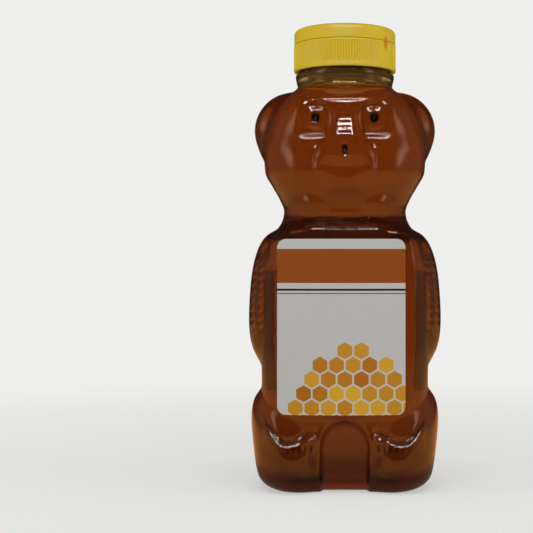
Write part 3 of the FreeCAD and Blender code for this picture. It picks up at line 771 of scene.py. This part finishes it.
def press_closure(closure, rib_depth):
    """Presses the ribs, the inside thread, the thumb scoop and the hinge flat into a spun cap or lid."""
    x, y, height = np.array([vert.co for vert in closure.verts]).T
    angle, reach = np.arctan2(x, -y), np.hypot(x, y)
    from_thumb = np.abs((angle - THUMB_ANGLE + np.pi) % (2 * np.pi) - np.pi)
    plain = 1 - climb(from_thumb, *SCOOP_PLAIN) * (1 - climb(from_thumb, *HINGE_PLAIN))
    band = climb(height, *RIB_FOOT) * (1 - climb(height, *RIB_TOP)) * (1 - plain)
    ribbed = CAP_RADIUS - rib_depth * band * (0.5 - 0.5 * np.cos(RIB_COUNT * angle))
    ball = SCOOP_BALL ** 2 - (SCOOP_SLIMNESS * CAP_RADIUS * from_thumb) ** 2 - (height - SCOOP_MIDDLE) ** 2
    scooped = CAP_RADIUS - np.maximum(np.sqrt(np.maximum(ball, 0.0)) - SCOOP_BALL + SCOOP_DEPTH, 0.0)
    thread = thread_lift(angle, height, CAP_THREAD_FOOT, CAP_THREAD_TURNS, CAP_THREAD_START)
    on_bore = np.abs(reach - CAP_BORE) < NEARLY
    pressed = np.minimum(reach, np.minimum(ribbed, scooped)) - np.where(on_bore, thread, 0.0)
    x, y = pressed * np.sin(angle), -pressed * np.cos(angle)
    past_flat = np.maximum(x * HINGE_WAY[0] + y * HINGE_WAY[1] - HINGE_FLAT, 0.0)
    move_verts(closure, x - past_flat * HINGE_WAY[0], y - past_flat * HINGE_WAY[1], height)


# Moulded polypropylene: opaque yellow with a faint satin grain, a little light passing into the surface.
# The hollow of the thumb scoop has painted light: it is tinted more orange, for the light that goes to and
# fro in it.
PP_FLOW = 9
PP_GRAIN = 0.35
PP_YELLOWS = ("#E3C521", "#DDBC1C")
PP_PAINTED_BOUNCE = "#D98E06"
SCOOP_FADE = (0.5, 1.0)
yellow_pp, pp_place = start_material("moulded_yellow_polypropylene")
pp_flow = add_node(yellow_pp, "TexNoise", {"Vector": pp_place, "Scale": 1 / (PP_FLOW * MM), "Detail": 2.0})
pp_plain = add_node(yellow_pp, "Mix", {
    "Factor": pp_flow, "A": linear(PP_YELLOWS[0]), "B": linear(PP_YELLOWS[1]),
}, data_type="RGBA")
# Painted light: an orange tint in the thumb scoop's hollow
scoop_floor = CAP_RADIUS - SCOOP_DEPTH
scoop_place = (scoop_floor * math.sin(THUMB_ANGLE), -scoop_floor * math.cos(THUMB_ANGLE), SCOOP_MIDDLE)
scoop_reach = add_node(yellow_pp, "VectorMath", {
    0: share_of(yellow_pp, pp_place, scoop_place, SCOOP_SHADE),
}, operation="LENGTH")
scoop_painted_light = add_node(yellow_pp, "MapRange", {
    "Value": scoop_reach, "From Min": SCOOP_FADE[0], "From Max": SCOOP_FADE[1],
}, interpolation_type="SMOOTHSTEP")
pp_colour = add_node(yellow_pp, "Mix", {
    "Factor": scoop_painted_light, "A": linear(PP_PAINTED_BOUNCE), "B": pp_plain,
}, data_type="RGBA")
pp_grain = add_node(yellow_pp, "TexNoise", {"Vector": pp_place, "Scale": 1 / (PP_GRAIN * MM), "Detail": 2.0})
pp_bump = add_node(yellow_pp, "Bump", {"Height": pp_grain, "Strength": 0.15, "Distance": 0.03 * MM})
pp_shader = add_node(yellow_pp, "BsdfPrincipled", {
    "Base Color": pp_colour, "Roughness": 0.42, "IOR": 1.49, "Subsurface Weight": 0.3,
    "Subsurface Radius": (2.0, 1.4, 0.4), "Subsurface Scale": 1 * MM, "Normal": pp_bump,
})
add_node(yellow_pp, "OutputMaterial", {"Surface": pp_shader})

cap_outline = rounded_outline(CAP_OUTLINE, CAP_ROUND, CAP_STEP)
cap = spun_tube(cap_outline, len(cap_outline), RIB_COUNT * COLUMNS_PER_RIB)[0]
press_closure(cap, RIB_DEPTH)
cap_base = make_piece("cap_base_ribbed", cap, [yellow_pp], 40)
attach(cap_base, "cap")
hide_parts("cap_base")


# Lid: a shallow flat-topped cup of the same polypropylene, moulded with the cap, that snaps onto the deck's
# collar. A plug under it closes the spout, and its wall is a little narrower than the cap, so that the cap
# shows a fine ledge at the parting line.
LID_OUTLINE = [
    (0.0, 180.6), (2.5, 180.6), (2.95, 182.7), (12.0, 182.5), (17.6, 181.4), (18.95, 179.8), (18.95, 178.0),
    (20.6, 178.0), (20.6, 182.3), (20.1, 183.4), (19.0, 183.9), (16.0, 184.0), (0.0, 184.0),
]
LID_ROUND = 0.7
LID_COLUMNS = 256
lid_outline = rounded_outline(LID_OUTLINE, LID_ROUND, CAP_STEP)
lid = spun_tube(lid_outline, len(lid_outline), LID_COLUMNS)[0]
press_closure(lid, 0.0)
flip_lid = make_piece("flip_lid_moulded", lid, [yellow_pp], 40)
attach(flip_lid, "lid")
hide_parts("flip_lid")


# Hinge: a thin film across the parting line with a strap on each side, moulded in one piece with cap and lid.
# The real webs bend as the lid opens; these are made as they stand with the lid shut. Each has its name, how
# far aside it is, its width, thickness and reach.
HINGE_LEVEL = 177.95
HINGE_SINK = 0.05
HINGE_CUTS = 11
HINGE_EDGE = 0.1
HINGE_WEBS = [
    ("hinge_film", 0.0, 4.2, 0.3, 0.9),
    ("hinge_strap_left", -3.9, 2.2, 0.4, 1.5),
    ("hinge_strap_right", 3.9, 2.2, 0.4, 1.5),
]


def upright_edges(mesh, length):
    """The edges of a mesh that rise by more than a length."""
    return [edge for edge in mesh.edges if abs(edge.verts[0].co.z - edge.verts[1].co.z) > length]


for web_name, aside, width, thickness, reach in HINGE_WEBS:
    web = bmesh.new()
    bmesh.ops.create_cube(web, size=1.0)
    bmesh.ops.scale(web, vec=(width, thickness + HINGE_SINK, 2 * reach), verts=web.verts)
    bmesh.ops.bevel(web, geom=upright_edges(web, reach), offset=HINGE_EDGE, segments=2, profile=0.5,
                    affect="EDGES", material=-1)
    bmesh.ops.subdivide_edges(web, edges=upright_edges(web, reach), cuts=HINGE_CUTS, use_grid_fill=True)
    out = HINGE_FLAT + (thickness - HINGE_SINK) / 2
    bmesh.ops.translate(web, vec=(aside, out, HINGE_LEVEL), verts=web.verts)
    bmesh.ops.rotate(web, matrix=Matrix.Rotation(THUMB_ANGLE, 3, "Z"), verts=web.verts)
    hinge_web = make_piece(web_name + "_moulded", web, [yellow_pp], 40)
    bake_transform(hinge_web)
    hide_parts(web_name)


# Labels: coated paper, printed, die-cut with round corners and stuck to the flat panels, front and back.
# The print is plain: a brown band, thin rules and a heap of honeycomb cells.
LABEL_CORNER = 3.4
LABEL_CORNER_STEPS = 8
LABEL_THICKNESS = 0.15
LABEL_GAP = 0.1
LABEL_STRIPS = 24
PAPER_FIBRE = 2.5
PAPER_GREYS = ("#C9C7C4", "#C3C1BE")
BAND_INK = "#964A04"
RULE_INK = "#2A1B12"
CELL_INKS = ("#B0640E", "#DDA92C")
CELL = 6.4
CELL_LINE = 0.055
CELL_BOX = (0.5, 0.5 * math.sqrt(3), 0.5)
CELL_NUDGE = (0.1, 0.1, 0.0)
LABELS = [
    dict(node="front_label", panel=FRONT_PANEL, facing=1, width=49.8, height=68.2, aside=-1.4, middle=64.6,
         band=(81.6, 94.8), rules=[(78.6, 79.4), (77.4, 77.7)],
         heap=dict(aside=3.0, foot=34.0, half=27.0, rise=24.0)),
    dict(node="back_label", panel=BACK_PANEL, facing=-1, width=44.0, height=49.0, aside=0.0, middle=61.5,
         band=(74.0, 82.0), rules=[(71.4, 72.0), (70.4, 70.7)],
         heap=dict(aside=0.0, foot=40.0, half=22.0, rise=12.0)),
]
for label in LABELS:
    # Coated paper: smooth, light grey-white, with the soft sheen of its varnish and flat printed inks
    paper, paper_place = start_material(label["node"] + "_coated_paper")
    paper_axes = add_node(paper, "SeparateXYZ", {"Vector": paper_place})
    flat_place = add_node(paper, "CombineXYZ", {"X": paper_axes.outputs["X"], "Y": paper_axes.outputs["Z"]})
    cell_place = add_node(paper, "VectorMath", {
        0: flat_place, 1: (1 / (CELL * MM),) * 3,
    }, operation="MULTIPLY")
    # Two offset grids of boxes; the nearer of their two middles is the middle of the hexagon
    from_middles = []
    lengths = []
    for shift in (0.0, 0.5):
        shifted = add_node(paper, "VectorMath", {
            0: cell_place, 1: (shift, shift * math.sqrt(3), 0.0),
        }, operation="SUBTRACT")
        boxed = add_node(paper, "VectorMath", {
            0: shifted, 1: CELL_BOX, 2: tuple(-half for half in CELL_BOX),
        }, operation="WRAP")
        from_middles.append(boxed)
        lengths.append(add_node(paper, "VectorMath", {0: boxed}, operation="LENGTH"))
    nearer = add_node(paper, "Math", {0: lengths[1], 1: lengths[0]}, operation="LESS_THAN")
    from_middle = add_node(paper, "Mix", {
        "Factor": nearer, "A": from_middles[0], "B": from_middles[1],
    }, data_type="VECTOR")
    cell_middle = add_node(paper, "VectorMath", {0: cell_place, 1: from_middle}, operation="SUBTRACT")
    folded = add_node(paper, "VectorMath", {0: from_middle}, operation="ABSOLUTE")
    aslant = add_node(paper, "VectorMath", {0: folded, 1: CELL_BOX}, operation="DOT_PRODUCT")
    folded_axes = add_node(paper, "SeparateXYZ", {"Vector": folded})
    to_wall = add_node(paper, "Math", {0: folded_axes.outputs["X"], 1: aslant}, operation="MAXIMUM")
    in_cell = add_node(paper, "Math", {0: to_wall, 1: 0.5 - CELL_LINE}, operation="LESS_THAN")
    # A cell is inked where its middle lies under the heap's curve
    heap = label["heap"]
    heap_place = add_node(paper, "VectorMath", {
        0: cell_middle, 1: (heap["aside"] / CELL, heap["foot"] / CELL, 0.0),
    }, operation="SUBTRACT")
    heap_share = add_node(paper, "VectorMath", {
        0: heap_place, 1: (CELL / heap["half"], CELL / heap["rise"], 0.0),
    }, operation="MULTIPLY")
    heap_axes = add_node(paper, "SeparateXYZ", {"Vector": heap_share})
    heap_across = add_node(paper, "Math", {0: heap_axes.outputs["X"], 1: 2.0}, operation="POWER")
    heap_level = add_node(paper, "Math", {0: heap_across, 1: heap_axes.outputs["Y"]}, operation="ADD")
    in_heap = add_node(paper, "Math", {0: heap_level, 1: 1.0}, operation="LESS_THAN")
    cell_ink = add_node(paper, "Math", {0: in_cell, 1: in_heap}, operation="MULTIPLY")
    # Each cell draws its own amber by the box that its middle falls in, nudged off the box's edges
    cell_inside = add_node(paper, "VectorMath", {0: cell_middle, 1: CELL_NUDGE}, operation="ADD")
    cell_number = add_node(paper, "VectorMath", {0: cell_inside, 1: CELL_BOX}, operation="SNAP")
    cell_draw = add_node(paper, "TexWhiteNoise", {"Vector": cell_number}, noise_dimensions="2D")
    amber = add_node(paper, "Mix", {
        "Factor": cell_draw, "A": linear(CELL_INKS[0]), "B": linear(CELL_INKS[1]),
    }, data_type="RGBA")
    paper_fibre = add_node(paper, "TexNoise", {
        "Vector": paper_place, "Scale": 1 / (PAPER_FIBRE * MM), "Detail": 3.0,
    })
    paper_grey = add_node(paper, "Mix", {
        "Factor": paper_fibre, "A": linear(PAPER_GREYS[0]), "B": linear(PAPER_GREYS[1]),
    }, data_type="RGBA")
    printed = add_node(paper, "Mix", {"Factor": cell_ink, "A": paper_grey, "B": amber}, data_type="RGBA")
    for (foot, top), ink in zip([label["band"]] + label["rules"], (BAND_INK, RULE_INK, RULE_INK)):
        above = add_node(paper, "Math", {0: paper_axes.outputs["Z"], 1: foot * MM}, operation="GREATER_THAN")
        below = add_node(paper, "Math", {0: paper_axes.outputs["Z"], 1: top * MM}, operation="LESS_THAN")
        stripe = add_node(paper, "Math", {0: above, 1: below}, operation="MULTIPLY")
        printed = add_node(paper, "Mix", {"Factor": stripe, "A": printed, "B": linear(ink)}, data_type="RGBA")
    paper_bump = add_node(paper, "Bump", {"Height": paper_fibre, "Strength": 0.1, "Distance": 0.03 * MM})
    paper_shader = add_node(paper, "BsdfPrincipled", {
        "Base Color": printed, "Roughness": 0.5, "Specular IOR Level": 0.15, "Normal": paper_bump,
    })
    add_node(paper, "OutputMaterial", {"Surface": paper_shader})

    sheet = bmesh.new()
    bmesh.ops.create_grid(sheet, x_segments=1, y_segments=1, size=0.5)
    bmesh.ops.scale(sheet, vec=(label["width"], label["height"], 1.0), verts=sheet.verts)
    bmesh.ops.bevel(sheet, geom=sheet.verts[:], offset=LABEL_CORNER, segments=LABEL_CORNER_STEPS, profile=0.5,
                    affect="VERTICES", material=-1)
    for k in range(1, LABEL_STRIPS):
        cut = label["width"] * (k / LABEL_STRIPS - 0.5)
        whole = sheet.verts[:] + sheet.edges[:] + sheet.faces[:]
        bmesh.ops.bisect_plane(sheet, geom=whole, plane_co=(cut, 0, 0), plane_no=(1, 0, 0))
    raised = bmesh.ops.extrude_face_region(sheet, geom=sheet.faces[:])
    raised_verts = [item for item in raised["geom"] if isinstance(item, bmesh.types.BMVert)]
    bmesh.ops.translate(sheet, vec=(0, 0, LABEL_THICKNESS), verts=raised_verts)
    bmesh.ops.translate(sheet, vec=(label["aside"], 0, 0), verts=sheet.verts)
    bow_axis = PANEL_BOW_RADIUS - label["panel"]["depth"]
    for vert in sheet.verts:
        out = math.sqrt((PANEL_BOW_RADIUS + LABEL_GAP + vert.co.z) ** 2 - vert.co.x ** 2) - bow_axis
        vert.co = (vert.co.x * label["facing"], -out * label["facing"], vert.co.y + label["middle"])
    bmesh.ops.recalc_face_normals(sheet, faces=sheet.faces)
    if sheet.calc_volume(signed=True) < 0:
        bmesh.ops.reverse_faces(sheet, faces=sheet.faces)
    label_piece = make_piece(label["node"] + "_sheet", sheet, [paper], 40)
    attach(label_piece, "bottle")
    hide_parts(label["node"])


# Table: a pale matt board that the bottle stands on. It takes the bottle's shadow, and further out it glows
# as evenly as the background, so that no edge of it shows.
BACKGROUND = linear("#EFEFED")
TABLE_HALF = 3000
TABLE_FADE = (100, 500)
table_mesh = bmesh.new()
bmesh.ops.create_grid(table_mesh, x_segments=8, y_segments=8, size=TABLE_HALF)
pale_table, table_place = start_material("pale_table_top")
table_far = add_node(pale_table, "VectorMath", {0: table_place}, operation="LENGTH")
table_share = add_node(pale_table, "MapRange", {
    "Value": table_far, "From Min": TABLE_FADE[0] * MM, "From Max": TABLE_FADE[1] * MM,
}, interpolation_type="SMOOTHSTEP")
table_shade = add_node(pale_table, "BsdfDiffuse", {"Color": linear("#BEBEBC")})
table_glow = add_node(pale_table, "Emission", {"Color": BACKGROUND, "Strength": 0.5})
table_near = add_node(pale_table, "AddShader", {0: table_shade, 1: table_glow})
table_away = add_node(pale_table, "Emission", {"Color": BACKGROUND, "Strength": 1.0})
table_mix = add_node(pale_table, "MixShader", {0: table_share, 1: table_near, 2: table_away})
add_node(pale_table, "OutputMaterial", {"Surface": table_mix})
table = make_piece("table_top", table_mesh, [pale_table], 30)
table.visible_glossy = False


# Dark card: a dome of dark card over the set, so that gloss shows a dim room there, with a soft window on
# each side. Only gloss sees it: dark in front and behind, lighter and warm to the sides.
ROOM_DARK = linear("#2A2624")
ROOM_SIDE = linear("#857560")
ROOM_SIDE_FROM = 0.6
CARD_RADIUS = 1000.0
CARD_RISE = (-0.5, 84.5)
CARD_ROWS = 12
CARD_COLUMNS = 48
WINDOW_MIDDLE = (780, -550, 300)
WINDOW_HALF = (200, 400, 320)
WINDOW_GLOW = 15.0


def side_glow(owner, place):
    """The colour of the dim room, by how far aside a place lies."""
    way = add_node(owner, "VectorMath", {0: both_sides(owner, place)}, operation="NORMALIZE")
    way_axes = add_node(owner, "SeparateXYZ", {"Vector": way})
    share = add_node(owner, "MapRange", {
        "Value": way_axes.outputs["X"], "From Min": ROOM_SIDE_FROM, "From Max": 1.0,
    }, interpolation_type="SMOOTHSTEP")
    return add_node(owner, "Mix", {"Factor": share, "A": ROOM_DARK, "B": ROOM_SIDE}, data_type="RGBA")


card_mesh = bmesh.new()
card_arc = []
for steep in np.radians(np.linspace(*CARD_RISE, CARD_ROWS + 1)):
    card_arc.append(card_mesh.verts.new((0, -CARD_RADIUS * math.cos(steep), CARD_RADIUS * math.sin(steep))))
card_edges = [card_mesh.edges.new(pair) for pair in zip(card_arc, card_arc[1:])]
bmesh.ops.spin(card_mesh, geom=card_arc + card_edges, axis=(0, 0, 1), angle=2 * math.pi, steps=CARD_COLUMNS,
               use_merge=True)
dark_card, card_place = start_material("dark_card")
window_reach = add_node(dark_card, "VectorMath", {
    0: share_of(dark_card, both_sides(dark_card, card_place), WINDOW_MIDDLE, WINDOW_HALF),
}, operation="LENGTH")
window_glow = add_node(dark_card, "MapRange", {
    "Value": window_reach, "From Min": 0.0, "From Max": 1.0, "To Min": WINDOW_GLOW, "To Max": 1.0,
}, interpolation_type="SMOOTHSTEP")
card_shader = add_node(dark_card, "Emission", {
    "Color": side_glow(dark_card, card_place), "Strength": window_glow,
})
add_node(dark_card, "OutputMaterial", {"Surface": card_shader})
card = make_piece("dark_card", card_mesh, [dark_card], 30)


# Table mat: what gloss shows of the table. Its colours are painted: a shadow at the bottle's foot, a warm
# pool of light around it where light comes down through the honey, and the dim room further out.
MAT_HALF = 1500
MAT_DROP = 1.0
MAT_PAINTED_GLOW = (45, 100)
MAT_DIM = (200, 900)
mat_mesh = bmesh.new()
bmesh.ops.create_grid(mat_mesh, x_segments=8, y_segments=8, size=MAT_HALF)
bmesh.ops.translate(mat_mesh, vec=(0, 0, -MAT_DROP), verts=mat_mesh.verts)
warm_mat, mat_place = start_material("warm_table_mat")
mat_far = add_node(warm_mat, "VectorMath", {0: mat_place}, operation="LENGTH")
# Painted shadow at the bottle's foot, fading into a painted warm glow around it
mat_painted_glow_share = add_node(warm_mat, "MapRange", {
    "Value": mat_far, "From Min": MAT_PAINTED_GLOW[0] * MM, "From Max": MAT_PAINTED_GLOW[1] * MM,
}, interpolation_type="SMOOTHSTEP")
mat_painted_shadow_and_glow = add_node(warm_mat, "Mix", {
    "Factor": mat_painted_glow_share, "A": linear("#6E645C"), "B": linear("#E4A35D"),
}, data_type="RGBA")
mat_share = add_node(warm_mat, "MapRange", {
    "Value": mat_far, "From Min": MAT_DIM[0] * MM, "From Max": MAT_DIM[1] * MM,
})
mat_colour = add_node(warm_mat, "Mix", {
    "Factor": mat_share, "A": mat_painted_shadow_and_glow, "B": side_glow(warm_mat, mat_place),
}, data_type="RGBA")
mat_shader = add_node(warm_mat, "Emission", {"Color": mat_colour, "Strength": 1.0})
add_node(warm_mat, "OutputMaterial", {"Surface": mat_shader})
mat = make_piece("table_mat", mat_mesh, [warm_mat], 30)
for seen_only_in_gloss in (card, mat):
    seen_only_in_gloss.visible_camera = False
    seen_only_in_gloss.visible_diffuse = False
    seen_only_in_gloss.visible_transmission = False
    seen_only_in_gloss.visible_shadow = False


# Background: an even pale surround. Gloss and clear pieces see it as a band at eye level that darkens
# overhead and underfoot, and it fills the shadows with half its light.
BAND_EDGE = (0.25, 0.75)
BAND_DARK = 0.12
FILL_LIGHT = 0.5
world = bpy.data.worlds.new("pale_studio")
world.use_nodes = True
world.node_tree.nodes.clear()
bpy.context.scene.world = world
ray = add_node(world, "LightPath", {})
look = add_node(world, "TexCoord", {})
look_axes = add_node(world, "SeparateXYZ", {"Vector": look.outputs["Generated"]})
steepness = add_node(world, "Math", {0: look_axes.outputs["Z"]}, operation="ABSOLUTE")
band_light = add_node(world, "MapRange", {
    "Value": steepness, "From Min": BAND_EDGE[0], "From Max": BAND_EDGE[1],
    "To Min": 1.0, "To Max": BAND_DARK,
}, interpolation_type="SMOOTHSTEP")
seen = add_node(world, "Math", {
    0: ray.outputs["Is Glossy Ray"], 1: ray.outputs["Is Transmission Ray"],
}, operation="MAXIMUM")
through = add_node(world, "Mix", {"Factor": seen, "A": FILL_LIGHT, "B": band_light}, data_type="FLOAT")
strength = add_node(world, "Mix", {
    "Factor": ray.outputs["Is Camera Ray"], "A": through, "B": 1.0,
}, data_type="FLOAT")
sky = add_node(world, "Background", {"Color": BACKGROUND, "Strength": strength})
add_node(world, "OutputWorld", {"Surface": sky})


# Lamps: an oblong frame of four light strips overhead in front, which only gloss and clear pieces see, a
# soft panel over the set and one on each side, which gloss doesn't see. Their sizes are in metres.
FRAME_HEIGHT = 0.52
FRAME_NEAR = -0.34
FRAME_FAR = -0.64
FRAME_HALF = 0.20
FRAME_LEAN = 0.7
STRIP = 0.04
STRIP_RADIANCE = 26
PANEL_AIM = (0, 0, 0.1)
SOFT_PANELS = [
    ("top_panel", (0, -0.35, 0.8), 0.7, 0.6, 1.2),
    ("side_panel", (-0.75, -0.22, 0.30), 0.22, 0.5, 2.2),
    ("side_panel", (0.75, -0.22, 0.30), 0.22, 0.5, 2.2),
]


def add_lamp(name, centre, aim, width, height, radiance):
    """A rectangular lamp in metres that faces a point, at a radiance where 1 is a white surface."""
    lamp = bpy.data.lights.new(name, "AREA")
    lamp.shape = "RECTANGLE"
    lamp.size, lamp.size_y = width, height
    lamp.energy = radiance * math.pi * width * height
    holder = bpy.data.objects.new(name, lamp)
    holder.location = centre
    holder.rotation_euler = (Vector(aim) - Vector(centre)).to_track_quat("-Z", "Y").to_euler()
    bpy.context.scene.collection.objects.link(holder)
    return holder


frame_middle = (FRAME_NEAR + FRAME_FAR) / 2
strips = [((0, y), (0, FRAME_LEAN * y), 2 * FRAME_HALF, STRIP) for y in (FRAME_NEAR, FRAME_FAR)]
for x in (-FRAME_HALF, FRAME_HALF):
    strips.append(((x, frame_middle), (x, frame_middle), STRIP, FRAME_NEAR - FRAME_FAR))
for centre, aim, width, depth in strips:
    strip = add_lamp("light_strip", (*centre, FRAME_HEIGHT), (*aim, 0), width, depth, STRIP_RADIANCE)
    strip.visible_diffuse = False
for panel_name, centre, width, depth, radiance in SOFT_PANELS:
    soft_panel = add_lamp(panel_name, centre, PANEL_AIM, width, depth, radiance)
    soft_panel.visible_glossy = False


# Camera: at the height of the label and straight in front, with the shift that the photograph's framing
# needs. Clear pieces stand one behind another, so light may pass through many faces.
MOST_BOUNCES = 32
camera = bpy.data.cameras.new("photo_camera")
camera.lens = 85.2
camera.sensor_width = 36.0
camera.shift_x = -0.147
camera_holder = bpy.data.objects.new("photo_camera", camera)
camera_holder.location = (0.0, -0.515, 0.088)
camera_holder.rotation_euler = (math.radians(90), 0.0, 0.0)
bpy.context.scene.collection.objects.link(camera_holder)
bpy.context.scene.camera = camera_holder
bpy.context.scene.view_settings.view_transform = "Standard"
bpy.context.scene.cycles.max_bounces = MOST_BOUNCES
bpy.context.scene.cycles.transmission_bounces = MOST_BOUNCES
